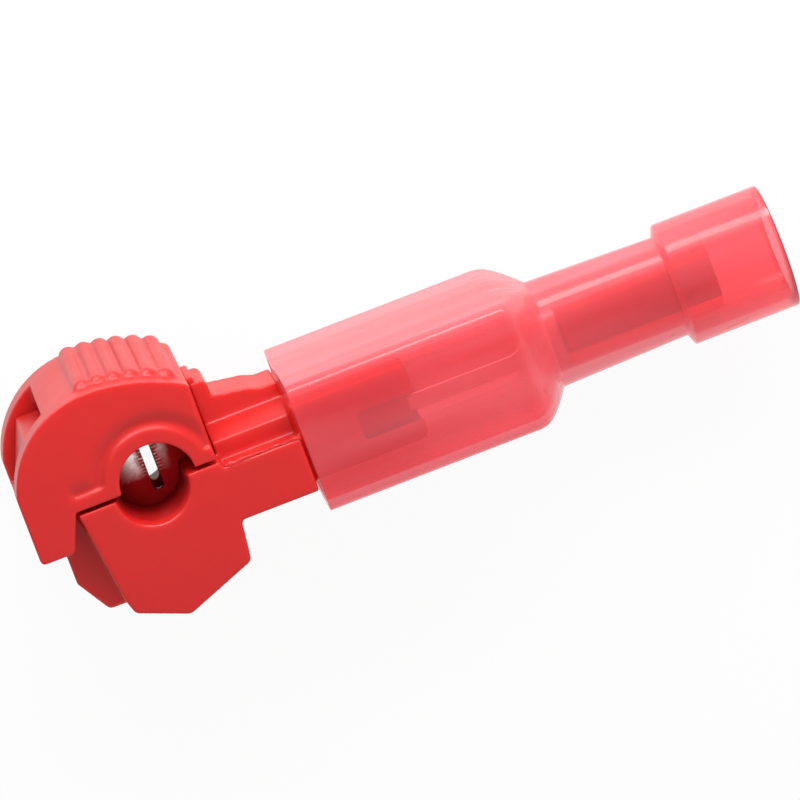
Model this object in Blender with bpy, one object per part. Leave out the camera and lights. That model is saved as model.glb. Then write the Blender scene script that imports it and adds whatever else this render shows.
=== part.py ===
"""Wire tap connector, clamped shut, with an insulated male tab pushed on its tail.

The connector lies on its side. +X runs along the plug to the wire entry, +Y
toward the grip of the cover, and +Z up along the bore that takes the run wire.
Drawing coordinates start at the bore axis; the root empty shifts them so that
the model's origin is the middle of its underside.
"""
import math

import bmesh
import bpy
from mathutils import Vector

MM = 0.001

# Thickness of the clamp and of the plug, along the run wire
BODY_THICKNESS = 9.5 * MM
SIDE_WALL = 1.5 * MM

# Run-wire bore: the halves stand a little apart and out of line
COVER_BORE_RADIUS = 1.70 * MM
BASE_BORE_RADIUS = 1.50 * MM
BORE_RIM = 0.20 * MM
BORE_RIM_DEPTH = 0.45 * MM
HALF_SHIFT = 0.19 * MM
SEAM_GAP = 0.18 * MM
SEAM_Y = -0.09 * MM

# Cover: outer outline seen along the bore
COVER_LATCH_REACH = 5.85 * MM
COVER_HINGE_REACH = 2.90 * MM
CROWN_X = -1.50 * MM
CROWN_HEIGHT = 4.83 * MM
CROWN_LATCH_DROP = 3.38 * MM
CROWN_HINGE_DROP = 1.29 * MM
COVER_CORNER = 0.30 * MM
COVER_WALL = 0.80 * MM
FOOT_DROP = 1.67 * MM
FOOT_WIDTH = 1.55 * MM
FOOT_SLANT = 0.65 * MM
FOOT_CORNER = 0.22 * MM

# Cover: window over the latch, press block, ring round the bore
WINDOW_EDGE = 3.53 * MM
HOOK_THICKNESS = 0.45 * MM
HOOK_TOP = 0.50 * MM
BLOCK_REACH = 2.60 * MM
RING_RADIUS = 2.58 * MM
RING_SLOPE = 0.28 * MM
GROOVE_WIDTH = 0.62 * MM
GROOVE_FLOOR = 0.10 * MM
GROOVE_DEPTH = 0.26 * MM
LEDGE_HEIGHT = 0.62 * MM
LEDGE_LENGTH = 1.21 * MM

# Cover: grip ribs
RIB_COUNT = 6
RIB_PITCH = 0.71 * MM
RIB_START_X = -1.45 * MM
RIB_RADIUS = 0.45 * MM
RIB_HEIGHT = 0.34 * MM
RIB_NEAR_MARGIN = 1.10 * MM
RIB_FAR_MARGIN = 0.30 * MM

# Living hinge axis: past the cover's hinge side, above the lug
HINGE_GAP = 0.08 * MM
HINGE_Y = 3.07 * MM

# Base: keel plates, core and latch post
KEEL_TOP_WIDTH = 3.60 * MM
KEEL_LEFT_LEAN = 0.60 * MM
KEEL_SHOULDER_Y = -4.50 * MM
KEEL_LOW_X = -2.78 * MM
KEEL_LOW_Y = -5.16 * MM
KEEL_TIP_X = -0.52 * MM
KEEL_TIP_Y = -6.07 * MM
KEEL_HEEL_X = 2.76 * MM
KEEL_HEEL_Y = -4.80 * MM
KEEL_CORNER = 0.30 * MM
CORE_REACH = 4.70 * MM
CORE_BOTTOM = -4.95 * MM
CORE_NOSE_Y = -3.38 * MM
CORE_CHAMFER = 0.95 * MM
POST_TOP = 3.22 * MM
POST_FLAT = 1.17 * MM
POST_EDGE = 0.08 * MM
POST_CLEARANCE = 0.06 * MM
TOOTH_Y = 1.00 * MM
TOOTH_GAP = 0.05 * MM
SLIDE_CLEARANCE = 0.10 * MM

# Base: hinge lug and stepped tail
LUG_TOP = 2.82 * MM
LUG_LENGTH = 0.75 * MM
LUG_CORNER = 0.32 * MM
RAIL_WIDTH = 3.10 * MM
RAIL_START_Y = 2.00 * MM
RAIL_END_Y = 1.56 * MM
RAIL_RAMP = 0.50 * MM
RAIL_DIP = 0.25 * MM
RAIL_FLAT = 0.77 * MM
TAIL_LENGTH = 3.62 * MM
TAIL_BOTTOM = -2.97 * MM
TAIL_LEDGE_Y = -0.47 * MM
TAIL_STEP_Y = 0.38 * MM
TAIL_SHOULDER_Y = 0.90 * MM

# Plug axis, and the tongue that the plug is pushed on
PLUG_AXIS_Y = -1.15 * MM
TONGUE_LENGTH = 5.40 * MM
TONGUE_FIT = 0.15 * MM
TONGUE_WALL = 0.375 * MM
TONGUE_BELOW = 1.55 * MM
TONGUE_ABOVE = 2.05 * MM
TONGUE_EDGE = 0.30 * MM
TONGUE_ROOT = 0.05 * MM
TONGUE_SLOT_LENGTH = 2.70 * MM
TONGUE_SLOT_HEIGHT = 1.25 * MM

# Splice contact: one stamping, two slotted blades and a receptacle
SHEET = 0.40 * MM
BLADE_SPACING = 2.00 * MM
BLADE_WIDTH = 3.60 * MM
BLADE_CORNER = 0.60 * MM
BLADE_TOP = 1.55 * MM
CONTACT_BOTTOM = -2.75 * MM
SLOT_WIDTH = 0.48 * MM
SLOT_BOTTOM = -1.15 * MM
SLOT_MOUTH = 1.00 * MM
SLOT_MOUTH_DEPTH = 0.35 * MM
CONTACT_CLEARANCE = 0.15 * MM
BLADE_HEADROOM = 0.30 * MM
RECEPTACLE_ROOT = 0.25 * MM
RECEPTACLE_SETBACK = 0.40 * MM
CURL_REACH = 1.90 * MM

# Male terminal: tab and barrel
TAB_THICKNESS = 0.80 * MM
TAB_LENGTH = 8.10 * MM
TAB_TIP_TAPER = 0.70 * MM
TAB_TIP_CHAMFER = 0.575 * MM
TAB_TIP_THICKNESS = 0.35 * MM
TAB_EDGE = 0.12 * MM
TAB_CLEARANCE = 0.05 * MM
BARREL_RADIUS = 1.45 * MM
BARREL_BORE = 1.10 * MM
BARREL_LENGTH = 5.60 * MM
TERMINAL_NECK = 2.60 * MM

# Support sleeve round the barrel
SLEEVE_WALL = 0.25 * MM
SLEEVE_LENGTH = 7.20 * MM
SLEEVE_FIT = 0.06 * MM

# Plug housing: bell, shoulder, neck and wire-entry flare
BELL_HEIGHT = 5.95 * MM
BELL_CORNER = 0.75 * MM
BELL_WALL = 0.45 * MM
MOUTH_GAP = 0.15 * MM
BELL_LENGTH = 10.10 * MM
SHOULDER_LENGTH = 1.60 * MM
NECK_RADIUS = 2.47 * MM
NECK_END_RADIUS = 2.30 * MM
NECK_LENGTH = 5.95 * MM
FLARE_STEP = 0.20 * MM
FLARE_RADIUS = 2.81 * MM
FLARE_WALL = 0.42 * MM
FLARE_LENGTH = 4.90 * MM
SLEEVE_START = 0.70 * MM

# Places that follow from the sizes above: each arc of the crown has its top at
# CROWN_X and drops by its own amount at the cover's edge
CROWN_LATCH_SPAN = COVER_LATCH_REACH + CROWN_X
CROWN_HINGE_SPAN = COVER_HINGE_REACH - CROWN_X
CROWN_LATCH_RADIUS = (CROWN_LATCH_SPAN ** 2 + CROWN_LATCH_DROP ** 2) / (2 * CROWN_LATCH_DROP)
CROWN_HINGE_RADIUS = (CROWN_HINGE_SPAN ** 2 + CROWN_HINGE_DROP ** 2) / (2 * CROWN_HINGE_DROP)
MIDDLE_Z = BODY_THICKNESS / 2
INNER_LOW = SIDE_WALL
INNER_HIGH = BODY_THICKNESS - SIDE_WALL
COVER_FLOOR = SEAM_Y + SEAM_GAP / 2
BASE_TOP = SEAM_Y - SEAM_GAP / 2
HOOK_INNER_X = -COVER_LATCH_REACH + HOOK_THICKNESS
BASE_START_X = COVER_HINGE_REACH + HINGE_GAP
HINGE_X = COVER_HINGE_REACH + HINGE_GAP / 2
TAIL_END_X = BASE_START_X + TAIL_LENGTH
TONGUE_END_X = TAIL_END_X + TONGUE_LENGTH
MOUTH_X = TAIL_END_X + MOUTH_GAP
SHOULDER_X = MOUTH_X + BELL_LENGTH
NECK_X = SHOULDER_X + SHOULDER_LENGTH
FLARE_STEP_X = NECK_X + NECK_LENGTH
FLARE_X = FLARE_STEP_X + FLARE_STEP
WIRE_END_X = FLARE_X + FLARE_LENGTH
SLEEVE_X = NECK_X + SLEEVE_START
TONGUE_WIDTH = BODY_THICKNESS - 2 * (BELL_WALL + TONGUE_FIT)
RECEPTACLE_HALF_WIDTH = TONGUE_WIDTH / 2 - TONGUE_WALL - CONTACT_CLEARANCE
RECEPTACLE_LENGTH = TONGUE_LENGTH - RECEPTACLE_SETBACK - RECEPTACLE_ROOT
TAB_WIDTH = 2 * (RECEPTACLE_HALF_WIDTH - SHEET - TAB_CLEARANCE)
TAB_LOW = PLUG_AXIS_Y - TAB_THICKNESS / 2 - TAB_CLEARANCE
TAB_HIGH = PLUG_AXIS_Y + TAB_THICKNESS / 2 + TAB_CLEARANCE
BOX_CENTRE_X = (WIRE_END_X - COVER_LATCH_REACH) / 2
BOX_CENTRE_Y = (CROWN_HEIGHT + RIB_HEIGHT + KEEL_TIP_Y) / 2


def clear_scene():
    """Remove every object that the file opened with."""
    for item in list(bpy.data.objects):
        bpy.data.objects.remove(item)


def make_material(name, colour, roughness, metallic=0.0):
    """A Principled material in a plain linear colour."""
    material = bpy.data.materials.new(name)
    material.use_nodes = True
    shader = material.node_tree.nodes["Principled BSDF"]
    shader.inputs["Base Color"].default_value = (*colour, 1.0)
    shader.inputs["Roughness"].default_value = roughness
    shader.inputs["Metallic"].default_value = metallic
    return material


def add_empty(name, parent, place):
    """An empty that carries pieces, at a place in its parent's coordinates."""
    empty = bpy.data.objects.new(name, None)
    bpy.context.scene.collection.objects.link(empty)
    empty.empty_display_size = BODY_THICKNESS / 4
    empty.parent = parent
    empty.location = place
    return empty


def add_mesh(name, shape, carrier, origin=(0.0, 0.0, 0.0)):
    """Turn a bmesh into an object whose mesh is in drawing coordinates."""
    bmesh.ops.recalc_face_normals(shape, faces=shape.faces)
    mesh = bpy.data.meshes.new(name)
    shape.to_mesh(mesh)
    shape.free()
    obj = bpy.data.objects.new(name, mesh)
    bpy.context.scene.collection.objects.link(obj)
    obj.parent = carrier
    obj.location = [-value for value in origin]
    return obj


def arc(centre, radius, start, end, steps):
    """Points on an arc, start and end angles in degrees."""
    points = []
    for step in range(steps + 1):
        angle = math.radians(start + (end - start) * step / steps)
        points.append((centre[0] + radius * math.cos(angle), centre[1] + radius * math.sin(angle)))
    return points


def rounded(corners, steps=4):
    """Round each corner (x, y, radius) of an outline; a radius of 0 stays sharp."""
    outline = []
    for index, (x, y, radius) in enumerate(corners):
        corner = Vector((x, y))
        if radius <= 0:
            outline.append((x, y))
            continue
        before = (Vector(corners[index - 1][:2]) - corner).normalized()
        after = (Vector(corners[(index + 1) % len(corners)][:2]) - corner).normalized()
        half_angle = before.angle(after) / 2
        centre = corner + (before + after).normalized() * radius / math.sin(half_angle)
        reach = radius / math.tan(half_angle)
        first = corner + before * reach - centre
        turn = first.angle_signed(corner + after * reach - centre)
        for step in range(steps + 1):
            angle = -turn * step / steps
            outline.append((
                centre.x + first.x * math.cos(angle) - first.y * math.sin(angle),
                centre.y + first.x * math.sin(angle) + first.y * math.cos(angle),
            ))
    return outline


def sharp(points):
    """Mark plain points as corners that stay sharp."""
    return [(x, y, 0.0) for x, y in points]


def prism_along_z(name, outline, low, high, carrier, origin=(0.0, 0.0, 0.0)):
    """Extrude an outline of (x, y) points from z = low to z = high."""
    shape = bmesh.new()
    face = shape.faces.new([shape.verts.new((x, y, low)) for x, y in outline])
    moved = bmesh.ops.extrude_face_region(shape, geom=[face])["geom"]
    verts = [item for item in moved if isinstance(item, bmesh.types.BMVert)]
    bmesh.ops.translate(shape, verts=verts, vec=(0.0, 0.0, high - low))
    return add_mesh(name, shape, carrier, origin)


def tapered_prism(name, low_outline, high_outline, low, high, carrier, origin):
    """Solid between two outlines with as many points, at z = low and z = high."""
    shape = bmesh.new()
    rings = [[shape.verts.new((x, y, low)) for x, y in low_outline],
             [shape.verts.new((x, y, high)) for x, y in high_outline]]
    skin_rings(shape, rings)
    for ring in rings:
        shape.faces.new(ring)
    return add_mesh(name, shape, carrier, origin)


def prism_along_x(name, outline, low, high, carrier):
    """Extrude an outline of (z, y) points from x = low to x = high."""
    shape = bmesh.new()
    face = shape.faces.new([shape.verts.new((low, y, z)) for z, y in outline])
    moved = bmesh.ops.extrude_face_region(shape, geom=[face])["geom"]
    verts = [item for item in moved if isinstance(item, bmesh.types.BMVert)]
    bmesh.ops.translate(shape, verts=verts, vec=(high - low, 0.0, 0.0))
    return add_mesh(name, shape, carrier)


def box_outline(low_a, high_a, low_b, high_b):
    """Corners of a rectangle."""
    return [(low_a, low_b), (high_a, low_b), (high_a, high_b), (low_a, high_b)]


def cylinder_along_z(name, centre, radii, heights, carrier, sides=40, origin=(0.0, 0.0, 0.0)):
    """Turned solid about a line along Z: one radius for each height."""
    shape = bmesh.new()
    rings = []
    for radius, height in zip(radii, heights):
        ring = arc(centre, radius, 0, 360 - 360 / sides, sides - 1)
        rings.append([shape.verts.new((x, y, height)) for x, y in ring])
    skin_rings(shape, rings)
    shape.faces.new(rings[0])
    shape.faces.new(rings[-1])
    return add_mesh(name, shape, carrier, origin)


def skin_rings(shape, rings):
    """Join each ring of vertices to the next with quads."""
    for first, second in zip(rings, rings[1:]):
        count = len(first)
        for index in range(count):
            after = (index + 1) % count
            shape.faces.new((first[index], first[after], second[after], second[index]))


def section_ring(shape, x, half_height, half_width, corner, corner_steps):
    """Rounded rectangle about the plug axis, as a ring of vertices."""
    least_flat = 0.01 * MM
    corner = min(corner, half_height - least_flat, half_width - least_flat)
    ring = []
    for quarter, (side_z, side_y) in enumerate(((1, 1), (-1, 1), (-1, -1), (1, -1))):
        centre = (
            MIDDLE_Z + side_z * (half_width - corner),
            PLUG_AXIS_Y + side_y * (half_height - corner),
        )
        start = 90 * quarter
        for z, y in arc(centre, corner, start, start + 90, corner_steps):
            ring.append(shape.verts.new((x, y, z)))
    return ring


def blend_to(sizes, radius, share):
    """Sizes of a section on its way to a circle: a share of 1 is the circle."""
    return [size + (radius - size) * share for size in sizes]


def loft(name, sections, carrier, corner_steps=6, hollow=False):
    """Skin rings (x, half_height, half_width, corner) laid along X.

    A hollow loft runs down the outside and back along the inside, and its
    last ring joins its first; a solid one is capped at both ends.
    """
    shape = bmesh.new()
    rings = [section_ring(shape, *section, corner_steps) for section in sections]
    skin_rings(shape, rings)
    if hollow:
        skin_rings(shape, [rings[-1], rings[0]])
    else:
        shape.faces.new(rings[0])
        shape.faces.new(rings[-1])
    return add_mesh(name, shape, carrier)


def soften(obj, width, segments=2):
    """Round the sharp edges of a simple solid before it is cut or joined."""
    bevel = obj.modifiers.new("edge_round", "BEVEL")
    bevel.width = width
    bevel.segments = segments
    bevel.limit_method = "ANGLE"
    bevel.angle_limit = math.radians(40)


def combine(target, tool, operation):
    """Join or cut a target with a tool, which stays hidden as a guide."""
    tool.hide_render = True
    tool.display_type = "WIRE"
    boolean = target.modifiers.new(tool.name, "BOOLEAN")
    boolean.operation = operation
    boolean.solver = "EXACT"
    boolean.object = tool


def finish_piece(obj, material, smooth_angle=35):
    """Give a piece its material and smooth its round faces."""
    obj.data.materials.append(material)
    obj.data.shade_smooth()
    obj.data.set_sharp_from_angle(angle=math.radians(smooth_angle))


def crown_height_at(x, inset=0.0):
    """Height of the cover's crown above the bore axis at a place along X."""
    radius = CROWN_LATCH_RADIUS if x < CROWN_X else CROWN_HINGE_RADIUS
    centre_y = CROWN_HEIGHT - radius
    return centre_y + math.sqrt((radius - inset) ** 2 - (x - CROWN_X) ** 2)


def crown_curve(from_x, to_x, inset=0.0, steps=8):
    """Points along the crown from one x to another, on one of its two arcs."""
    middle_x = (from_x + to_x) / 2
    radius = CROWN_LATCH_RADIUS if middle_x < CROWN_X else CROWN_HINGE_RADIUS
    centre = (CROWN_X, CROWN_HEIGHT - radius)
    start = math.degrees(math.acos((from_x - CROWN_X) / (radius - inset)))
    end = math.degrees(math.acos((to_x - CROWN_X) / (radius - inset)))
    return arc(centre, radius - inset, start, end, steps)


def cover_outline():
    """Cover seen along the bore, anticlockwise from its hinge-side floor."""
    back, front = COVER_HINGE_REACH, -COVER_LATCH_REACH
    foot_x = front + FOOT_WIDTH
    corners = [(back, COVER_FLOOR, 0.0), (back, crown_height_at(back), COVER_CORNER)]
    corners += sharp(crown_curve(back, CROWN_X)[1:])
    corners += sharp(crown_curve(CROWN_X, front, steps=14)[1:])
    corners += [
        (front, -FOOT_DROP, FOOT_CORNER),
        (foot_x, -FOOT_DROP, FOOT_CORNER),
        (foot_x + FOOT_SLANT, COVER_FLOOR, 0.0),
    ]
    return rounded(corners)


def pocket_outline():
    """Space between the cover's side walls: latch pocket, and window above it."""
    below = -FOOT_DROP - SIDE_WALL
    above = CROWN_HEIGHT + SIDE_WALL
    beyond = -COVER_LATCH_REACH - SIDE_WALL
    under_crown = crown_curve(-BLOCK_REACH, -WINDOW_EDGE, inset=COVER_WALL, steps=4)
    return [
        (-BLOCK_REACH, below),
        *under_crown,
        (-WINDOW_EDGE, above),
        (beyond, above),
        (beyond, HOOK_TOP),
        (HOOK_INNER_X, HOOK_TOP),
        (HOOK_INNER_X, below),
    ]


def groove_outline(width, ring_radius):
    """Groove of a given width round a bore ring, and above the ledge beside it."""
    centre = (HALF_SHIFT, COVER_FLOOR)
    outer = RING_RADIUS + width
    left = HALF_SHIFT - RING_RADIUS - LEDGE_LENGTH
    ledge = LEDGE_HEIGHT - COVER_FLOOR
    inner_angle = math.degrees(math.asin(ledge / ring_radius))
    right_angle = math.degrees(math.asin(ledge / outer))
    left_angle = math.degrees(math.asin((ledge + width) / outer))
    return (arc(centre, outer, right_angle, 180 - left_angle, 20)
            + [(left, LEDGE_HEIGHT + width), (left, LEDGE_HEIGHT)]
            + arc(centre, ring_radius, 180 - inner_angle, inner_angle, 20))


def build_cover(carrier, origin, material):
    """Cover: crown, two side walls, press block, ring, window and grip ribs."""
    cover = prism_along_z("clamp_cover", cover_outline(), 0.0, BODY_THICKNESS, carrier, origin)
    for index in range(RIB_COUNT):
        x = RIB_START_X + index * RIB_PITCH
        centre = (x, crown_height_at(x) + RIB_HEIGHT - RIB_RADIUS)
        rib_tip = RIB_HEIGHT / 2
        heights = (
            RIB_FAR_MARGIN,
            RIB_FAR_MARGIN + rib_tip,
            BODY_THICKNESS - RIB_NEAR_MARGIN - rib_tip,
            BODY_THICKNESS - RIB_NEAR_MARGIN,
        )
        radii = (RIB_RADIUS - rib_tip, RIB_RADIUS, RIB_RADIUS, RIB_RADIUS - rib_tip)
        rib = cylinder_along_z(f"rib_{index + 1}", centre, radii, heights, carrier, 16, origin)
        combine(cover, rib, "UNION")
    pocket = prism_along_z("latch_pocket", pocket_outline(), INNER_LOW, INNER_HIGH, carrier, origin)
    combine(cover, pocket, "DIFFERENCE")
    half_slot = BLADE_SPACING / 2 + SHEET / 2 + CONTACT_CLEARANCE
    slot = prism_along_z(
        "blade_slot",
        box_outline(-BLOCK_REACH - SIDE_WALL, COVER_HINGE_REACH + SIDE_WALL, -SIDE_WALL,
                    BLADE_TOP + BLADE_HEADROOM),
        MIDDLE_Z - half_slot, MIDDLE_Z + half_slot, carrier, origin)
    combine(cover, slot, "DIFFERENCE")
    bore = cylinder_along_z(
        "cover_bore", (HALF_SHIFT, COVER_FLOOR), (COVER_BORE_RADIUS,) * 2,
        (-SIDE_WALL, BODY_THICKNESS + SIDE_WALL), carrier, 48, origin)
    combine(cover, bore, "DIFFERENCE")
    wide = 2 * GROOVE_WIDTH - GROOVE_FLOOR
    for side, face, outward in (("far", 0.0, -1), ("near", BODY_THICKNESS, 1)):
        groove = tapered_prism(
            f"{side}_groove", groove_outline(GROOVE_FLOOR, RING_RADIUS),
            groove_outline(wide, RING_RADIUS - 2 * RING_SLOPE),
            face - outward * GROOVE_DEPTH, face + outward * GROOVE_DEPTH, carrier, origin)
        combine(cover, groove, "DIFFERENCE")
    finish_piece(cover, material)
    return cover


def keel_outline():
    """Side plate of the base below the seam, with its blunt pointed keel."""
    left = -KEEL_TOP_WIDTH
    return rounded([
        (left, BASE_TOP, 0.0),
        (left + KEEL_LEFT_LEAN, KEEL_SHOULDER_Y, KEEL_CORNER),
        (KEEL_LOW_X, KEEL_LOW_Y, KEEL_CORNER),
        (KEEL_TIP_X, KEEL_TIP_Y, KEEL_CORNER),
        (KEEL_HEEL_X, KEEL_HEEL_Y, KEEL_CORNER),
        (BASE_START_X, TAIL_BOTTOM, 0.0),
        (BASE_START_X, BASE_TOP, 0.0),
    ])


def post_face_x():
    """Back face of the latch post, just past the sweep of the press block."""
    reach = math.hypot(HINGE_X + BLOCK_REACH, HINGE_Y - COVER_FLOOR)
    return HINGE_X - reach - POST_CLEARANCE


def core_outline():
    """Core between the side plates, with the latch post at its front."""
    swing = math.hypot(HINGE_X - HOOK_INNER_X, HINGE_Y - HOOK_TOP) - TOOTH_GAP
    tooth_x = HINGE_X - math.sqrt(swing ** 2 - (HINGE_Y - TOOTH_Y) ** 2)
    root_x = HOOK_INNER_X + SLIDE_CLEARANCE
    post_face = post_face_x()
    return rounded([
        (KEEL_HEEL_X - 2 * KEEL_CORNER, CORE_BOTTOM, 0.0),
        (BASE_START_X, TAIL_BOTTOM, 0.0),
        (BASE_START_X, BASE_TOP, 0.0),
        (post_face, BASE_TOP, 0.0),
        (post_face, POST_TOP, 0.0),
        (post_face - POST_FLAT, POST_TOP, POST_EDGE),
        (tooth_x, TOOTH_Y, 0.0),
        (root_x, HOOK_TOP + TOOTH_GAP, 0.0),
        (root_x, BASE_TOP, 0.0),
        (-CORE_REACH, BASE_TOP - SIDE_WALL, 0.0),
        (-CORE_REACH, CORE_NOSE_Y, 0.0),
        (-CORE_REACH + CORE_CHAMFER, CORE_BOTTOM, KEEL_CORNER),
    ])


def tail_outline():
    """Stepped section of the tail, as (z, y) points."""
    rail = RAIL_WIDTH / 2
    inner = BODY_THICKNESS / 2 - SIDE_WALL
    outer = BODY_THICKNESS / 2
    half = [
        (outer, TAIL_BOTTOM),
        (outer, TAIL_LEDGE_Y),
        (inner, TAIL_LEDGE_Y),
        (inner, TAIL_STEP_Y),
        (rail, TAIL_SHOULDER_Y),
    ]
    right = [(MIDDLE_Z + z, y) for z, y in half]
    left = [(MIDDLE_Z - z, y) for z, y in reversed(half)]
    return right + left


def rail_outline():
    """Hinge lug and the rail behind it, along the middle of the tail."""
    lug_end = BASE_START_X + LUG_LENGTH
    return rounded([
        (BASE_START_X, BASE_TOP, 0.0),
        (TAIL_END_X, BASE_TOP, 0.0),
        (TAIL_END_X, RAIL_END_Y, 0.0),
        (TAIL_END_X - RAIL_FLAT, RAIL_END_Y, 0.0),
        (TAIL_END_X - RAIL_FLAT - RAIL_RAMP, RAIL_START_Y - RAIL_DIP, LUG_CORNER),
        (lug_end, RAIL_START_Y, 0.0),
        (lug_end, LUG_TOP, LUG_CORNER),
        (BASE_START_X, LUG_TOP, 0.0),
    ])


def receptacle_section():
    """Receptacle seen from the plug: floor, and edges curled over the tab."""
    half = RECEPTACLE_HALF_WIDTH
    floor, top = TAB_LOW - SHEET, TAB_HIGH + SHEET
    inner = half - SHEET
    lip = half - CURL_REACH
    return rounded([
        (MIDDLE_Z - half, floor, SHEET), (MIDDLE_Z + half, floor, SHEET),
        (MIDDLE_Z + half, top, SHEET), (MIDDLE_Z + lip, top, 0.0),
        (MIDDLE_Z + lip, TAB_HIGH, 0.0), (MIDDLE_Z + inner, TAB_HIGH, 0.0),
        (MIDDLE_Z + inner, TAB_LOW, 0.0), (MIDDLE_Z - inner, TAB_LOW, 0.0),
        (MIDDLE_Z - inner, TAB_HIGH, 0.0), (MIDDLE_Z - lip, TAB_HIGH, 0.0),
        (MIDDLE_Z - lip, top, 0.0), (MIDDLE_Z - half, top, SHEET),
    ])


def strip_outline(grow=0.0):
    """Strip that joins the blades to the receptacle, seen from the side."""
    low = CONTACT_BOTTOM - grow
    high = CONTACT_BOTTOM + SHEET + grow
    end_low = TAB_LOW - SHEET - grow
    end_high = TAB_LOW + grow
    start_x = HALF_SHIFT - BLADE_WIDTH / 2 - grow
    bend_x = HALF_SHIFT + BLADE_WIDTH / 2 + SHEET
    rise_x = TAIL_END_X - SHEET
    end_x = TONGUE_END_X - RECEPTACLE_SETBACK - RECEPTACLE_LENGTH + SHEET + grow
    return [
        (start_x, low), (bend_x, low), (rise_x, end_low), (end_x, end_low),
        (end_x, end_high), (rise_x, end_high), (bend_x, high), (start_x, high),
    ]


def blade_outline():
    """One blade with rounded shoulders, its slot flared at the mouth."""
    blade = BLADE_WIDTH / 2
    slot, mouth = SLOT_WIDTH / 2, SLOT_MOUTH / 2
    bottom = arc((HALF_SHIFT, SLOT_BOTTOM + slot), slot, 360, 180, 6)
    return rounded([
        (HALF_SHIFT - blade, CONTACT_BOTTOM, 0.0), (HALF_SHIFT + blade, CONTACT_BOTTOM, 0.0),
        (HALF_SHIFT + blade, BLADE_TOP, BLADE_CORNER), (HALF_SHIFT + mouth, BLADE_TOP, 0.0),
        (HALF_SHIFT + slot, BLADE_TOP - SLOT_MOUTH_DEPTH, 0.0),
        *sharp(bottom),
        (HALF_SHIFT - slot, BLADE_TOP - SLOT_MOUTH_DEPTH, 0.0),
        (HALF_SHIFT - mouth, BLADE_TOP, 0.0), (HALF_SHIFT - blade, BLADE_TOP, BLADE_CORNER),
    ])


def build_base(carrier, material):
    """Base: keel plates, core with latch post, hinge lug, tail and tongue."""
    base = prism_along_z(
        "base_housing", core_outline(), INNER_LOW + SLIDE_CLEARANCE,
        INNER_HIGH - SLIDE_CLEARANCE, carrier)
    far_keel = prism_along_z("far_keel", keel_outline(), 0.0, SIDE_WALL + SLIDE_CLEARANCE * 2, carrier)
    near_keel = prism_along_z(
        "near_keel", keel_outline(), BODY_THICKNESS - SIDE_WALL - SLIDE_CLEARANCE * 2,
        BODY_THICKNESS, carrier)
    tail = prism_along_x("tail", tail_outline(), BASE_START_X, TAIL_END_X, carrier)
    rail = prism_along_z(
        "rail", rail_outline(), MIDDLE_Z - RAIL_WIDTH / 2, MIDDLE_Z + RAIL_WIDTH / 2, carrier)
    tongue = prism_along_x(
        "tongue", box_outline(MIDDLE_Z - TONGUE_WIDTH / 2, MIDDLE_Z + TONGUE_WIDTH / 2,
                              PLUG_AXIS_Y - TONGUE_BELOW, PLUG_AXIS_Y + TONGUE_ABOVE),
        TAIL_END_X - TONGUE_ROOT, TONGUE_END_X, carrier)
    soften(tongue, TONGUE_EDGE)
    for tool in (far_keel, near_keel, tail, rail, tongue):
        combine(base, tool, "UNION")
    bore = cylinder_along_z(
        "base_bore", (-HALF_SHIFT, BASE_TOP),
        (BASE_BORE_RADIUS + BORE_RIM, BASE_BORE_RADIUS + BORE_RIM, BASE_BORE_RADIUS,
         BASE_BORE_RADIUS, BASE_BORE_RADIUS + BORE_RIM, BASE_BORE_RADIUS + BORE_RIM),
        (-SIDE_WALL, 0.0, BORE_RIM_DEPTH, BODY_THICKNESS - BORE_RIM_DEPTH, BODY_THICKNESS,
         BODY_THICKNESS + SIDE_WALL), carrier, 48)
    combine(base, bore, "DIFFERENCE")
    half_pocket = BLADE_SPACING / 2 + SHEET / 2 + CONTACT_CLEARANCE
    root = BLADE_WIDTH / 2 + CONTACT_CLEARANCE
    pocket = prism_along_z(
        "blade_pocket",
        box_outline(HALF_SHIFT - root, HALF_SHIFT + root, CONTACT_BOTTOM - CONTACT_CLEARANCE,
                    BASE_TOP + SIDE_WALL),
        MIDDLE_Z - half_pocket, MIDDLE_Z + half_pocket, carrier)
    channel = prism_along_z(
        "strip_channel", strip_outline(CONTACT_CLEARANCE), MIDDLE_Z - half_pocket,
        MIDDLE_Z + half_pocket, carrier)
    grow = CONTACT_CLEARANCE
    rim_low = TAB_LOW - SHEET - grow
    rim_high = TAB_HIGH + SHEET + grow
    half_width = RECEPTACLE_HALF_WIDTH + grow
    start_x = TONGUE_END_X - RECEPTACLE_SETBACK - RECEPTACLE_LENGTH - grow
    cavity = prism_along_x(
        "receptacle_cavity",
        box_outline(MIDDLE_Z - half_width, MIDDLE_Z + half_width, rim_low, rim_high),
        start_x, TONGUE_END_X + SIDE_WALL, carrier)
    side_slots = prism_along_x(
        "tongue_side_slots",
        box_outline(-SIDE_WALL, BODY_THICKNESS + SIDE_WALL,
                    PLUG_AXIS_Y - TONGUE_SLOT_HEIGHT / 2, PLUG_AXIS_Y + TONGUE_SLOT_HEIGHT / 2),
        TONGUE_END_X - TONGUE_SLOT_LENGTH, TONGUE_END_X + SIDE_WALL, carrier)
    for tool in (pocket, channel, cavity, side_slots):
        combine(base, tool, "DIFFERENCE")
    finish_piece(base, material)
    return base


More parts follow.
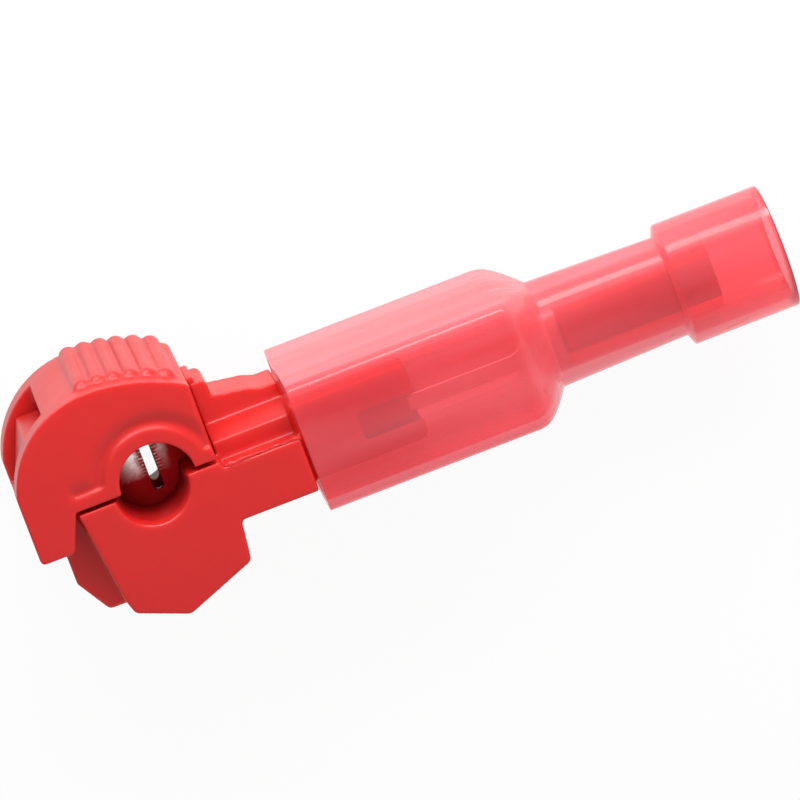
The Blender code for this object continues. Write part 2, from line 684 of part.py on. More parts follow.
def build_contact(carrier, material):
    """Splice contact: two blades on a strip, ending in a curled receptacle."""
    inner_face = MIDDLE_Z - BLADE_SPACING / 2 - SHEET / 2
    outer_face = MIDDLE_Z + BLADE_SPACING / 2 + SHEET / 2
    contact = prism_along_z("splice_contact", blade_outline(), inner_face, inner_face + SHEET, carrier)
    near_blade = prism_along_z("near_blade", blade_outline(), outer_face - SHEET, outer_face, carrier)
    strip = prism_along_z("strip", strip_outline(), inner_face, outer_face, carrier)
    end_x = TONGUE_END_X - RECEPTACLE_SETBACK
    receptacle = prism_along_x(
        "receptacle", receptacle_section(), end_x - RECEPTACLE_LENGTH, end_x, carrier)
    for tool in (near_blade, strip, receptacle):
        combine(contact, tool, "UNION")
    finish_piece(contact, material)
    return contact


def build_plug_housing(carrier, origin, material):
    """Moulded nylon shell: bell, shoulder, tapered neck, flare, open at both ends."""
    half_height, half_width = BELL_HEIGHT / 2, BODY_THICKNESS / 2
    inner_bore = sleeve_outer_radius() + SLEEVE_FIT
    outside = [
        (MOUTH_X, half_height, half_width, BELL_CORNER),
        (SHOULDER_X, half_height, half_width, BELL_CORNER),
    ]
    inside = [
        (MOUTH_X, half_height - BELL_WALL, half_width - BELL_WALL, BELL_CORNER - BELL_WALL),
        (SHOULDER_X, half_height - BELL_WALL, half_width - BELL_WALL, BELL_CORNER - BELL_WALL),
    ]
    steps = 6
    for step in range(1, steps + 1):
        share = 0.35 * step / steps + 0.65 * (1 - math.cos(math.pi / 2 * step / steps))
        x = SHOULDER_X + SHOULDER_LENGTH * step / steps
        outside.append((x, *blend_to(outside[1][1:], NECK_RADIUS, share)))
        inside.append((x, *blend_to(inside[1][1:], inner_bore, share)))
    flare_bore = FLARE_RADIUS - FLARE_WALL
    outside += [
        (FLARE_STEP_X, NECK_END_RADIUS, NECK_END_RADIUS, NECK_END_RADIUS),
        (FLARE_X, FLARE_RADIUS, FLARE_RADIUS, FLARE_RADIUS),
        (WIRE_END_X, FLARE_RADIUS, FLARE_RADIUS, FLARE_RADIUS),
    ]
    inside += [
        (FLARE_STEP_X, inner_bore, inner_bore, inner_bore),
        (FLARE_X, flare_bore, flare_bore, flare_bore),
        (WIRE_END_X, flare_bore, flare_bore, flare_bore),
    ]
    housing = loft("plug_housing", outside + inside[::-1], carrier, corner_steps=8, hollow=True)
    housing.location = [-value for value in origin]
    finish_piece(housing, material)
    return housing


def sleeve_outer_radius():
    """Outer radius of the support sleeve that stands round the barrel."""
    return BARREL_RADIUS + SLEEVE_FIT + SLEEVE_WALL


def build_terminal(carrier, origin, material):
    """Male terminal: bevelled tab, drawn-in neck and a barrel with a wire bore."""
    tab_end = SLEEVE_X - TERMINAL_NECK
    tip = tab_end - TAB_LENGTH
    barrel_end = SLEEVE_X + BARREL_LENGTH
    half_tab, half_thick = TAB_WIDTH / 2, TAB_THICKNESS / 2
    sections = [
        (tip, TAB_TIP_THICKNESS / 2, half_tab - TAB_TIP_CHAMFER, TAB_EDGE),
        (tip + TAB_TIP_TAPER, half_thick, half_tab, TAB_EDGE),
        (tab_end, half_thick, half_tab, TAB_EDGE),
    ]
    steps = 5
    for step in range(1, steps + 1):
        share = (1 - math.cos(math.pi * step / steps)) / 2
        x = tab_end + (TERMINAL_NECK - SLEEVE_START) * step / steps
        sections.append((x, *blend_to((half_thick, half_tab, TAB_EDGE), BARREL_RADIUS, share)))
    sections.append((barrel_end, BARREL_RADIUS, BARREL_RADIUS, BARREL_RADIUS))
    terminal = loft("tab_terminal", sections, carrier)
    terminal.location = [-value for value in origin]
    bore = loft(
        "wire_bore",
        [(SLEEVE_X, BARREL_BORE, BARREL_BORE, BARREL_BORE),
         (barrel_end + SIDE_WALL, BARREL_BORE, BARREL_BORE, BARREL_BORE)], carrier)
    bore.location = [-value for value in origin]
    combine(terminal, bore, "DIFFERENCE")
    finish_piece(terminal, material)
    return terminal


def build_sleeve(carrier, origin, material):
    """Thin metal sleeve pressed in the neck round the barrel."""
    outer = sleeve_outer_radius()
    inner = outer - SLEEVE_WALL
    end_x = SLEEVE_X + SLEEVE_LENGTH
    sections = [
        (SLEEVE_X, outer, outer, outer), (end_x, outer, outer, outer),
        (end_x, inner, inner, inner), (SLEEVE_X, inner, inner, inner),
    ]
    sleeve = loft("support_sleeve", sections, carrier, corner_steps=8, hollow=True)
    sleeve.location = [-value for value in origin]
    finish_piece(sleeve, material)
    return sleeve


def build():
    """Whole connector: fixed base, hinged cover and sliding plug."""
    clear_scene()
    red = make_material("red_nylon", (0.62, 0.035, 0.035), 0.38)
    pink = make_material("clear_red_nylon", (0.80, 0.09, 0.12), 0.22)
    brass = make_material("tinned_brass", (0.66, 0.65, 0.62), 0.32, 1.0)
    copper = make_material("copper_sleeve", (0.72, 0.42, 0.28), 0.34, 1.0)
    root = add_empty("connector", None, (-BOX_CENTRE_X, -BOX_CENTRE_Y, 0.0))
    hinge_place = (HINGE_X, HINGE_Y, 0.0)
    hinge = add_empty("hinge_axis", root, hinge_place)
    plug_place = (MOUTH_X, PLUG_AXIS_Y, MIDDLE_Z)
    plug = add_empty("plug_axis", root, plug_place)
    build_base(root, red)
    build_contact(root, brass)
    build_cover(hinge, hinge_place, red)
    build_plug_housing(plug, plug_place, pink)
    build_terminal(plug, plug_place, brass)
    build_sleeve(plug, plug_place, copper)


build()
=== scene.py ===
"""Looks of a wire tap with its plug: camera, light, mouldings, metal and finishes."""
import math

import bpy
from mathutils import Matrix, Vector


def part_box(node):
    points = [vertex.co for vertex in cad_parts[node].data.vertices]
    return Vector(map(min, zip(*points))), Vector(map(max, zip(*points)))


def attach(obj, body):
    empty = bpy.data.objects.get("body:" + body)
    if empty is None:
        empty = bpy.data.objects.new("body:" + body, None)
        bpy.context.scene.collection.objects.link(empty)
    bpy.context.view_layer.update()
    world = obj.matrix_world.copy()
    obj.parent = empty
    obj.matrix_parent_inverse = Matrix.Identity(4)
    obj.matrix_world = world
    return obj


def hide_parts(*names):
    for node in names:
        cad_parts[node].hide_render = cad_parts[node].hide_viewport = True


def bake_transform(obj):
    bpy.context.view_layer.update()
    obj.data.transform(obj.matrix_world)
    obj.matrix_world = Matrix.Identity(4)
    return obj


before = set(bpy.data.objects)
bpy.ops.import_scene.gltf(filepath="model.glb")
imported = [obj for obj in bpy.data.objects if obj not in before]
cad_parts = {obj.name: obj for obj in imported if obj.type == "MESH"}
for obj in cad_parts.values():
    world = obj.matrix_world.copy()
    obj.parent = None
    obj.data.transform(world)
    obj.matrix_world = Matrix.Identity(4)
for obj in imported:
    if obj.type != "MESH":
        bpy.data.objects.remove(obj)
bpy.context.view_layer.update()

MM = 0.001

# Camera. A small product shot from a third of a metre above the connector as it
# lies on its side, tilted towards the grip and turned so that the plug climbs
# to the right.
view_from = Vector((-0.046, 0.228, 0.973)).normalized()
view_target = Vector((-0.57 * MM, -0.01 * MM, 9.5 * MM))
view_distance = 0.340
view_width = math.radians(5.857)
view_roll = math.radians(20.44)
level = Vector((0, 1, 0)).cross(view_from).normalized()
upright = view_from.cross(level)
right = level * math.cos(view_roll) - upright * math.sin(view_roll)
above = level * math.sin(view_roll) + upright * math.cos(view_roll)
camera = bpy.data.objects.new("camera", bpy.data.cameras.new("camera"))
bpy.context.scene.collection.objects.link(camera)
camera.data.angle = view_width
camera.data.clip_start = 0.01
camera.matrix_world = Matrix((right, above, view_from)).transposed().to_4x4()
camera.matrix_world.translation = view_target + view_from * view_distance
bpy.context.scene.camera = camera
bpy.context.scene.view_settings.view_transform = "Standard"

# Floor and room. A white table in a white room. Both are full white to the
# camera and in mirrors, and light the connector at a lower, plain level.
table_width = 1.2
floor_gap = 0.05 * MM
seen_share = 0.94
room_level = 0.34
seen_rays = ("Is Camera Ray", "Is Glossy Ray", "Is Transmission Ray")
bpy.ops.object.select_all(action="DESELECT")
bpy.ops.mesh.primitive_plane_add(size=table_width, location=(0, 0, -floor_gap))
floor = bpy.context.object
floor.name = "floor"
bpy.ops.object.transform_apply(location=True, rotation=True, scale=True)


class Wire:
    """Output of a shader node that takes part in sums as a number does."""

    def __init__(self, finish, socket):
        self.finish = finish
        self.socket = socket

    def __add__(self, other):
        return self.finish.math("ADD", self, other)

    def __sub__(self, other):
        return self.finish.math("SUBTRACT", self, other)

    def __rsub__(self, other):
        return self.finish.math("SUBTRACT", other, self)

    def __mul__(self, other):
        return self.finish.math("MULTIPLY", self, other)

    __radd__ = __add__
    __rmul__ = __mul__


class Finish:
    """Surface of the table or of one of the plastics or metals, built from nodes."""

    def __init__(self, name, **fixed):
        self.material = bpy.data.materials.new(name)
        self.material.use_nodes = True
        self.tree = self.material.node_tree
        self.shader = self.tree.nodes["Principled BSDF"]
        self.output = self.tree.nodes["Material Output"]
        for socket, value in fixed.items():
            self.shader.inputs[socket.replace("_", " ")].default_value = value
        self.place = self.node("ShaderNodeTexCoord", {}, {}, "Object")

    def node(self, kind, settings, sockets, output=0):
        """Add a node: its settings first, then its sockets, and hand back an output."""
        made = self.tree.nodes.new(kind)
        for name, value in settings.items():
            setattr(made, name, value)
        for socket, value in sockets.items():
            if isinstance(value, Wire):
                self.tree.links.new(value.socket, made.inputs[socket])
            else:
                made.inputs[socket].default_value = value
        return Wire(self, made.outputs[output])

    def math(self, operation, first, second=0.5):
        """Math node. An operation on one value leaves the second unused."""
        return self.node("ShaderNodeMath", {"operation": operation}, {
            0: first, 1: second})

    def feed(self, socket, wire):
        """Let a pattern drive a socket of the surface's own shader."""
        self.tree.links.new(wire.socket, self.shader.inputs[socket])

    def along(self, axis):
        """Place on the piece, measured along one axis."""
        return self.node("ShaderNodeSeparateXYZ", {}, {0: self.place}, axis)

    def stretched(self, scale):
        """Place on the piece, scaled by axis so that a pattern runs in lines."""
        return self.node("ShaderNodeMapping", {}, {"Vector": self.place, "Scale": scale})

    def ramp(self, wire, low, high):
        """0 at low, 1 at high, straight between and held beyond."""
        return self.node("ShaderNodeMapRange", {}, {
            0: wire, 1: low, 2: high, 3: 0.0, 4: 1.0})

    def band(self, wire, start, full, fading, end):
        """0 up to start, 1 from full to fading, and 0 from end on."""
        return self.ramp(wire, start, full) * (1 - self.ramp(wire, fading, end))

    def noise(self, scale, detail, rough, place=None):
        """Soft random pattern from 0 to 1."""
        return self.node("ShaderNodeTexNoise", {}, {
            "Vector": place or self.place, "Scale": scale, "Detail": detail,
            "Roughness": rough})

    def cells(self, scale):
        """Distance to the nearest of many points strewn through the piece."""
        return self.node("ShaderNodeTexVoronoi", {"feature": "F1"}, {
            "Vector": self.place, "Scale": scale}, "Distance")

    def mix(self, factor, first, second):
        """Blend of two colours, by the Mix node's sockets for colour."""
        return self.node("ShaderNodeMix", {"data_type": "RGBA"}, {
            0: factor, 6: first, 7: second}, 2)

    def relief(self, height, depth):
        """Bump of a height that stands for a real depth in metres."""
        return self.node("ShaderNodeBump", {}, {
            "Strength": 1.0, "Distance": depth, "Height": height})


table = Finish("white_table", Base_Color=(0.86, 0.86, 0.86, 1), Roughness=0.9)
table_white = table.node("ShaderNodeEmission", {}, {
    "Color": (1, 1, 1, 1), "Strength": 1.0})
seen = [table.node("ShaderNodeLightPath", {}, {}, ray) for ray in seen_rays]
seen_or_mirrored = table.node("ShaderNodeMath", {"operation": "ADD", "use_clamp": True}, {
    0: seen[0] + seen[1], 1: seen[2]})
table_mix = table.node("ShaderNodeMixShader", {}, {
    0: seen_or_mirrored * seen_share,
    1: Wire(table, table.shader.outputs[0]), 2: table_white})
table.tree.links.new(table_mix.socket, table.output.inputs["Surface"])
floor.data.materials.append(table.material)

room = bpy.data.worlds.new("white_room")
bpy.context.scene.world = room
room.use_nodes = True
room_nodes = room.node_tree.nodes
room_light = room_nodes["Background"]
room_white = room_nodes.new("ShaderNodeBackground")
for background, strength in ((room_light, room_level), (room_white, 1.0)):
    background.inputs["Color"].default_value = (1, 1, 1, 1)
    background.inputs["Strength"].default_value = strength
room_path = room_nodes.new("ShaderNodeLightPath")
room_sum = room_nodes.new("ShaderNodeMath")
room_all = room_nodes.new("ShaderNodeMath")
for adder in (room_sum, room_all):
    adder.operation = "ADD"
room_all.use_clamp = True
room_mix = room_nodes.new("ShaderNodeMixShader")
for source, target in (
        (room_path.outputs[seen_rays[0]], room_sum.inputs[0]),
        (room_path.outputs[seen_rays[1]], room_sum.inputs[1]),
        (room_sum.outputs[0], room_all.inputs[0]),
        (room_path.outputs[seen_rays[2]], room_all.inputs[1]),
        (room_all.outputs[0], room_mix.inputs[0]),
        (room_light.outputs[0], room_mix.inputs[1]),
        (room_white.outputs[0], room_mix.inputs[2]),
        (room_mix.outputs[0], room_nodes["World Output"].inputs["Surface"])):
    room.node_tree.links.new(source, target)

# Lamps. A small soft one close over the grip, a wide soft one low on the keel's
# side, and a far strip that only shows mirrored. The close one makes the sides
# that face the camera darken downwards.
over_grip = (0.010, 0.043, 0.038)
beyond_grip = (0.0, 0.300, 0.052)
beyond_keel = (0.0, -0.240, 0.127)


def hang_lamp(name, place, width, height, power):
    """Soft lamp that looks at the middle of the connector, unseen by the camera."""
    lamp = bpy.data.lights.new(name, "AREA")
    lamp.shape = "RECTANGLE"
    lamp.size = width
    lamp.size_y = height
    lamp.energy = power
    hung = bpy.data.objects.new(name, lamp)
    bpy.context.scene.collection.objects.link(hung)
    hung.location = place
    hung.rotation_euler = Vector(place).to_track_quat("Z", "Y").to_euler()
    hung.visible_camera = False
    return hung


top_lamp = hang_lamp("top_lamp", over_grip, width=0.085, height=0.025, power=0.056)
top_lamp.visible_glossy = False
far_strip = hang_lamp("far_strip", beyond_grip, width=0.40, height=0.080, power=1.35)
far_strip.visible_diffuse = False
low_lamp = hang_lamp("underside_lamp", beyond_keel, width=0.25, height=0.19, power=0.27)
low_lamp.visible_glossy = False

# Red mouldings. Nylon without glass, injection moulded and semi-gloss, with slow
# colour swirls from the melt, specks of dust in the skin and a faint orange peel.
red_nylon = Finish("red_nylon", IOR=1.45, Subsurface_Weight=0.45,
                   Subsurface_Radius=(1.0, 0.10, 0.08), Subsurface_Scale=0.9 * MM)
nylon_x, nylon_y, nylon_z = [red_nylon.along(axis) for axis in "XYZ"]
swirl = red_nylon.noise(170, 3.0, 0.55)
cloud = red_nylon.noise(620, 2.0, 0.5)
melt = red_nylon.ramp(swirl * 0.7 + cloud * 0.3, 0.25, 0.75)
red_tone = red_nylon.mix(melt, (0.55, 0.011, 0.010, 1), (0.59, 0.014, 0.013, 1))
near_speck = 1 - red_nylon.ramp(red_nylon.cells(1500.0), 0.07, 0.14)
specks = near_speck * red_nylon.ramp(cloud, 0.52, 0.6)
speckled = red_nylon.mix(specks * 0.22, red_tone, (0.34, 0.01, 0.012, 1))

# Painted shade: the wall of the base's half-bore lies deep between the plates, and its
# colour is painted dark there to stand for the shade that falls in it.
base_bore = Vector((-12.015, 0.45, 0.0)) * MM
bore_wall = 1.56 * MM
bore_rim = 1.72 * MM
flattened = red_nylon.node("ShaderNodeVectorMath", {"operation": "MULTIPLY"}, {
    0: red_nylon.place, 1: (1.0, 1.0, 0.0)})
from_bore = red_nylon.node("ShaderNodeVectorMath", {"operation": "DISTANCE"}, {
    0: flattened, 1: tuple(base_bore)}, "Value")
below_parting = 1 - red_nylon.ramp(nylon_y, 0.40 * MM, 0.55 * MM)
in_bore_painted_shade = (1 - red_nylon.ramp(from_bore, bore_wall, bore_rim)) * below_parting
# Painted shade: the bore's wall is mixed towards dark red in place of the shade deep in
# the bore.
red_nylon.feed("Base Color", red_nylon.mix(
    in_bore_painted_shade * 0.9, speckled, (0.19, 0.001, 0.002, 1)))
red_nylon.feed("Roughness", 0.30 + melt * 0.10 + cloud * 0.08 + in_bore_painted_shade * 0.12)

# The grip ribs are moulded shallow, and the finish deepens their valleys.
rib_pitch = 0.71 * MM
first_rib_x = -13.275 * MM
rib_wave = red_nylon.math("COSINE", (nylon_x - first_rib_x) * (2 * math.pi / rib_pitch))
across_ribs = red_nylon.band(nylon_x, -13.30 * MM, -13.20 * MM, -9.80 * MM, -9.70 * MM)
on_crown = red_nylon.ramp(nylon_y, 4.05 * MM, 4.15 * MM)
along_ribs = red_nylon.band(nylon_z, 0.4 * MM, 0.6 * MM, 8.1 * MM, 8.5 * MM)
rib_zone = across_ribs * on_crown * along_ribs
peel = red_nylon.noise(1500, 2.0, 0.6)
grain = red_nylon.noise(7500, 2.0, 0.6)
skin = (peel * 0.5 + grain * 0.3 + swirl * 0.6) * 0.10
red_nylon.feed("Normal", red_nylon.relief(skin + rib_wave * rib_zone * 0.55, 0.080 * MM))

# Base. The lower half of the clamp and the outlet tail, moulded in one: keel
# plates, core with the latch post, half-bore, rail and the tongue in the plug.
weld_distance = 0.0005 * MM


def welded_copy(node, name):
    """One closed mesh from a CAD node's loose triangles, at the origin."""
    piece = bpy.data.objects.new(name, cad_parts[node].data.copy())
    bpy.context.scene.collection.objects.link(piece)
    bpy.ops.object.select_all(action="DESELECT")
    piece.select_set(True)
    bpy.context.view_layer.objects.active = piece
    if piece.data.has_custom_normals:
        bpy.ops.mesh.customdata_custom_splitnormals_clear()
    bpy.ops.object.mode_set(mode="EDIT")
    bpy.ops.mesh.select_all(action="SELECT")
    bpy.ops.mesh.remove_doubles(threshold=weld_distance)
    bpy.ops.object.mode_set(mode="OBJECT")
    piece.data.materials.clear()
    return piece


def apply_modifier(piece, kind, **settings):
    """Add a modifier to a piece and apply it."""
    modifier = piece.modifiers.new(kind.lower(), kind)
    for name, value in settings.items():
        setattr(modifier, name, value)
    bpy.context.view_layer.objects.active = piece
    bpy.ops.object.modifier_apply(modifier=modifier.name)


def soften_moulding(piece, grain_size, passes):
    """Give a welded piece the small even radii that a mould leaves on every edge.

    It is enlarged while it is remeshed, because the remesh has a least cell size.
    """
    enlarge = 100
    kept_share = 0.6
    piece.data.transform(Matrix.Scale(enlarge, 4))
    apply_modifier(piece, "REMESH", mode="VOXEL", voxel_size=grain_size * enlarge,
                   adaptivity=0.0)
    apply_modifier(piece, "SMOOTH", factor=0.5, iterations=passes)
    apply_modifier(piece, "DECIMATE", ratio=kept_share)
    piece.data.transform(Matrix.Scale(1 / enlarge, 4))
    piece.data.shade_smooth()


base = welded_copy("base_housing", "base_moulding")
soften_moulding(base, grain_size=0.085 * MM, passes=4)
base.data.materials.append(red_nylon.material)
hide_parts("base_housing")
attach(base, "base")

# Cover. The upper half, moulded open and folded over the wire, with grip ribs,
# the latch window, and the ring that stands round the bore on both sides.
cover = welded_copy("clamp_cover", "cover_moulding")
soften_moulding(cover, grain_size=0.068 * MM, passes=3)


def rise(value, start, reach):
    """0 up to start, 1 from start plus reach on, and straight between."""
    return min(max((value - start) / reach, 0.0), 1.0)


# The groove round the ring and the near ends of the ribs run out softly.
cover_bore = Vector((-11.635, 0.45)) * MM
ring_radius = 2.45 * MM
groove_radius = 4.3 * MM
groove_end_x = -2.3 * MM
rib_end_z = 8.28 * MM
rib_end_reach = 0.48 * MM
soft_groove = cover.vertex_groups.new(name="soft_groove")
rib_ends = cover.vertex_groups.new(name="rib_ends")
for vertex in cover.data.vertices:
    x, y, z = vertex.co
    away = vertex.co.xy - cover_bore
    near_face = rise(z, 8.3 * MM, 0.4 * MM)
    inside_edge = rise(groove_radius - away.length, 0.0, 0.4 * MM)
    outside_ring = rise(away.length, ring_radius, 0.3 * MM)
    above_parting = rise(away.y, 0.20 * MM, 0.3 * MM)
    groove_end = 1.0 if away.x < groove_end_x else 0.6
    weight = near_face * inside_edge * outside_ring * above_parting * groove_end
    if weight > 0:
        soft_groove.add([vertex.index], weight, "REPLACE")
    at_rib_end = 1.0 - abs(z - rib_end_z) / rib_end_reach
    if at_rib_end > 0 and y > 3.9 * MM and -14.2 * MM < x < -9.2 * MM:
        rib_ends.add([vertex.index], at_rib_end, "REPLACE")
apply_modifier(cover, "SMOOTH", factor=0.5, iterations=45, vertex_group="soft_groove")
apply_modifier(cover, "SMOOTH", factor=0.5, iterations=40, vertex_group="rib_ends")
cover.vertex_groups.clear()
cover.data.materials.append(red_nylon.material)
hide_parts("clamp_cover")
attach(cover, "cover")

# Hinge web. The thin skin of nylon between the lug and the cover, which bends
# when the cover opens. It is moulded with both.
web_edge = 0.12 * MM


def block_to_edit(name, low, high):
    """Block between two corners in millimetres, selected all over in edit mode."""
    low = Vector(low) * MM
    high = Vector(high) * MM
    bpy.ops.object.select_all(action="DESELECT")
    bpy.ops.mesh.primitive_cube_add(size=1.0)
    block = bpy.context.object
    block.name = name
    block.data.transform(Matrix.Translation((low + high) / 2) @ Matrix.Diagonal(
        (*(high - low), 1.0)))
    bpy.ops.object.mode_set(mode="EDIT")
    bpy.ops.mesh.select_all(action="SELECT")
    return block


web = block_to_edit("hinge_web", (-8.98, 3.12, 3.40), (-8.60, 3.56, 6.10))
bpy.ops.mesh.bevel(offset=web_edge, segments=4)
bpy.ops.mesh.subdivide(number_cuts=2)
bpy.ops.object.mode_set(mode="OBJECT")
web.data.shade_smooth()
web.data.materials.append(red_nylon.material)
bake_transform(web)

# Mould flash. The thin wavy sliver that stands on the tail's ledge along the
# parting line of the mould, of the same nylon as the base.
flash = block_to_edit("mould_flash", (-8.72, -0.05, 9.28), (-5.24, 0.05, 9.40))
bpy.ops.mesh.subdivide(number_cuts=36)
bpy.ops.object.mode_set(mode="OBJECT")
flash_waves = bpy.data.textures.new("flash_waves", "CLOUDS")
flash_waves.noise_scale = 0.30 * MM
apply_modifier(flash, "DISPLACE", texture=flash_waves, texture_coords="GLOBAL",
               strength=0.26 * MM, mid_level=0.45)
flash.data.shade_smooth()
flash.data.materials.append(red_nylon.material)
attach(flash, "base")

# Splice contact. Tinned brass stamping: two slotted blades that cut through the
# wire's insulation, on a strip that ends in a curled receptacle for the tab.
slot_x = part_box("splice_contact")[0].x + 1.80 * MM
fan_x = slot_x - 0.38 * MM
tooth_pitch = 0.15 * MM
tongue_starts = slot_x + 5.0 * MM
tongue_covers = slot_x + 6.0 * MM

# The blades look dull, but for the coined flanks of the slot, which are cut with fine
# teeth that hold the wire. The dull dark red, also between the teeth, is a painted
# reflection of the red nylon, and the flanks are painted bright, lighter upwards where
# light falls in from above.
blade_metal = Finish("coined_blade", Metallic=1.0)
blade_x, blade_height = [blade_metal.along(axis) for axis in "XY"]
blade_cloud = blade_metal.noise(1500, 3.0, 0.6)
blade_scratch = blade_metal.noise(5200, 3.0, 0.7)
from_fan = blade_metal.math("ABSOLUTE", blade_x - fan_x) + blade_cloud * (0.6 * MM)
from_slot = blade_metal.math("ABSOLUTE", blade_x - slot_x) + blade_cloud * (0.3 * MM)
up_fan = blade_height + blade_cloud * (0.7 * MM)
up_teeth = blade_height + blade_cloud * (0.10 * MM)
# Painted light: the coined flanks are painted brighter upwards, as lit from above.
coined_and_painted_lit = (1 - blade_metal.ramp(from_fan, 0.75 * MM, 1.60 * MM)) * blade_metal.ramp(
    up_fan, 0.35 * MM, 1.60 * MM)
tick_zone = 1 - blade_metal.ramp(from_slot, 0.55 * MM, 0.80 * MM)
tooth_wave = blade_metal.math("SINE", up_teeth * (2 * math.pi / tooth_pitch))
teeth = blade_metal.ramp(tooth_wave, -0.4, 0.6) * blade_metal.ramp(
    blade_scratch, 0.40, 0.55)
ticks = 1 - tick_zone * (1 - teeth)
burnish = blade_metal.ramp(blade_scratch, 0.30, 0.60) * 0.45 + 0.55
# Painted reflection: the dull dark red stands for the red nylon mirrored in the blade.
painted_nylon_reflection = blade_metal.mix(blade_cloud, (0.26, 0.002, 0.004, 1), (0.36, 0.010, 0.012, 1))
bright = blade_metal.mix(ticks * burnish, (0.30, 0.03, 0.03, 1), (1.0, 0.90, 0.88, 1))
blade_tone = blade_metal.mix(coined_and_painted_lit, painted_nylon_reflection, bright)
in_tongue = blade_metal.ramp(blade_x, tongue_starts, tongue_covers)
blade_metal.feed("Base Color", blade_metal.mix(
    in_tongue, blade_tone, (0.40, 0.025, 0.028, 1)))
blade_metal.feed("Roughness", 0.46 - coined_and_painted_lit * 0.24 + blade_cloud * 0.08)
blade_metal.feed("Normal", blade_metal.relief(
    ticks * coined_and_painted_lit + blade_cloud * 0.2, 0.020 * MM))


def round_edges(piece, width, segments, least_turn=35):
    """Round the edges that turn by more than so many degrees, and shade smooth."""
    smooth_turn = 35
    apply_modifier(piece, "BEVEL", width=width, segments=segments, limit_method="ANGLE",
                   angle_limit=math.radians(least_turn))
    bpy.ops.object.shade_smooth_by_angle(angle=math.radians(smooth_turn))


stamped_edge = 0.03 * MM
contact = welded_copy("splice_contact", "contact_stamping")
round_edges(contact, stamped_edge, segments=2)
contact.data.materials.append(blade_metal.material)
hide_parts("splice_contact")
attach(contact, "base")

# Plug housing. See-through pink-red nylon shell round the male tab, moulded in
# one: a flat bell that is pushed over the tongue, a rounded shoulder, a tapered
# neck and a flare that guides the wire in.
bell_length = 10.10 * MM
shoulder_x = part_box("plug_housing")[0].x + bell_length
flare_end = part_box("plug_housing")[1].x

# The nylon has milky flow lines, folds at the shoulder, a few bubbles, scuffs on
# the flare and a darker rim at its end.
clear_red = Finish("clear_red_nylon", IOR=1.50, Coat_Roughness=0.08)
clear_along = clear_red.along("X")
clear_swirl = clear_red.noise(210, 3.0, 0.5)
clear_cloud = clear_red.noise(900, 2.0, 0.5)
flow_lines = clear_red.noise(240, 2.0, 0.5, clear_red.stretched((0.3, 2.2, 2.2)))
flow = clear_red.ramp(flow_lines, 0.34, 0.66)
clear_tone = clear_red.mix(flow, (1.0, 0.14, 0.165, 1), (1.0, 0.20, 0.235, 1))
bubbles = 1 - clear_red.ramp(clear_red.cells(330.0), 0.02, 0.07)
at_shoulder = clear_red.band(clear_along, shoulder_x - 0.7 * MM, shoulder_x + 0.1 * MM,
                             shoulder_x + 1.2 * MM, shoulder_x + 2.2 * MM)
folds = clear_red.noise(560, 2.0, 0.5) * at_shoulder
scuff_lines = clear_red.noise(520, 3.0, 0.6, clear_red.stretched((1.0, 7.0, 2.0)))
on_flare = clear_red.ramp(clear_along, flare_end - 5.6 * MM, flare_end - 4.6 * MM)
scuffs = clear_red.ramp(scuff_lines, 0.64, 0.70) * on_flare
scuffed_tone = clear_red.mix(scuffs * 0.6, clear_tone, (0.52, 0.06, 0.10, 1))
end_rim = clear_red.ramp(clear_along, flare_end - 0.22 * MM, flare_end - 0.06 * MM)
clear_red.feed("Base Color", clear_red.mix(
    end_rim, scuffed_tone, (0.50, 0.02, 0.03, 1)))
clear_red.feed("Coat Weight", 0.30 + clear_cloud * 0.20)
clear_red.feed("Roughness", 0.16 + clear_cloud * 0.12)
clear_height = (clear_swirl * 0.5 + clear_cloud * 0.12 + bubbles * 2.4 - scuffs * 1.2
                + folds * 6.0)
clear_relief = clear_red.relief(clear_height, 0.020 * MM)
clear_red.feed("Normal", clear_relief)

# Light passes through it, least at grazing angles and at the rim.
see_through = clear_red.node("ShaderNodeBsdfTransparent", {}, {
    "Color": (1.0, 0.55, 0.58, 1)})
grazing = clear_red.node("ShaderNodeLayerWeight", {}, {
    "Blend": 0.5, "Normal": clear_relief}, "Facing")
clear_mix = clear_red.node("ShaderNodeMixShader", {}, {
    0: (1 - grazing * 0.62) * (0.80 - flow * 0.07) * (1 - end_rim * 0.8),
    1: Wire(clear_red, clear_red.shader.outputs[0]), 2: see_through})
clear_red.tree.links.new(clear_mix.socket, clear_red.output.inputs["Surface"])

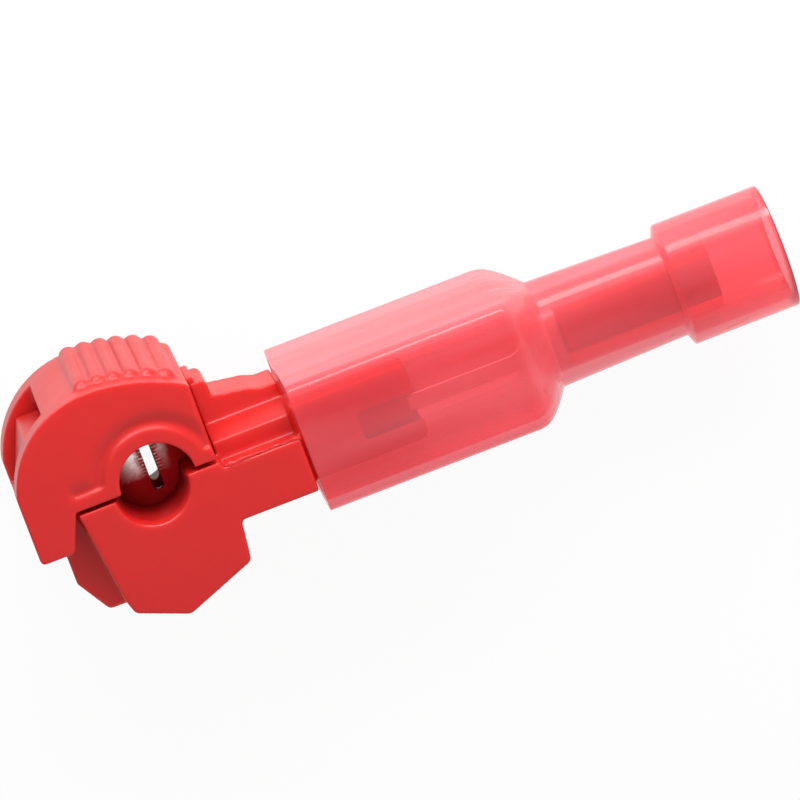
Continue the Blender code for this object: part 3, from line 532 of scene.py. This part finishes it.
# The shoulder's edge is rounded wider than the others.
shoulder_edge = 0.24 * MM
housing_edge = 0.06 * MM
housing = welded_copy("plug_housing", "housing_moulding")
crease_weight = housing.data.attributes.new("bevel_weight_edge", "FLOAT", "EDGE")
for edge in housing.data.edges:
    ends = [housing.data.vertices[index].co for index in edge.vertices]
    if max(abs(end.x - shoulder_x) for end in ends) < 0.02 * MM:
        crease_weight.data[edge.index].value = 1.0
apply_modifier(housing, "BEVEL", width=shoulder_edge, segments=4, limit_method="WEIGHT")
round_edges(housing, housing_edge, segments=3)
housing.data.materials.append(clear_red.material)
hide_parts("plug_housing")
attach(housing, "plug")

# Tab terminal. Tinned brass blade for the receptacle, drawn in to a barrel that
# is crimped on the wire, with bevelled edges at its tip.
tinned = Finish("tinned_brass", Metallic=1.0)
tin_cloud = tinned.noise(900, 3.0, 0.6)
tin_lines = tinned.noise(900, 3.0, 0.6, tinned.stretched((1.0, 14.0, 14.0)))
tinned.feed("Base Color", tinned.mix(
    tin_cloud, (0.62, 0.60, 0.57, 1), (0.80, 0.79, 0.76, 1)))
tinned.feed("Roughness", 0.22 + tin_lines * 0.16 + tin_cloud * 0.06)
tinned.feed("Normal", tinned.relief(tin_lines * 0.6 + tin_cloud * 0.4, 0.006 * MM))
terminal = welded_copy("tab_terminal", "terminal_stamping")
round_edges(terminal, stamped_edge, segments=2)
terminal.data.materials.append(tinned.material)
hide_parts("tab_terminal")
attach(terminal, "plug")

# Support sleeve. Thin copper-coloured tube pressed in the neck round the barrel and
# squeezed together with it. Its dark red is a painted reflection of the red nylon, and
# its lower side, where the neck is lighter, is painted paler as a painted reflection of
# the light from below.
copper = Finish("copper_sleeve", Metallic=1.0)
copper_cloud = copper.noise(1100, 3.0, 0.6)
sleeve_nylon_reflection = copper.mix(copper_cloud, (0.34, 0.006, 0.008, 1), (0.46, 0.016, 0.016, 1))
# Painted reflection: below this line the sleeve is painted pale pink for the light it
# mirrors from below.
above_painted_low_light = copper.ramp(copper.along("Y"), -1.62 * MM, -1.54 * MM)
copper.feed("Base Color", copper.mix(
    above_painted_low_light, (1.0, 0.36, 0.38, 1), sleeve_nylon_reflection))
copper.feed("Roughness", 0.34 + copper_cloud * 0.10)
copper.feed("Normal", copper.relief(copper_cloud, 0.005 * MM))
sleeve = welded_copy("support_sleeve", "sleeve_tube")
round_edges(sleeve, 0.04 * MM, segments=2, least_turn=50)
sleeve.data.materials.append(copper.material)
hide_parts("support_sleeve")
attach(sleeve, "plug")
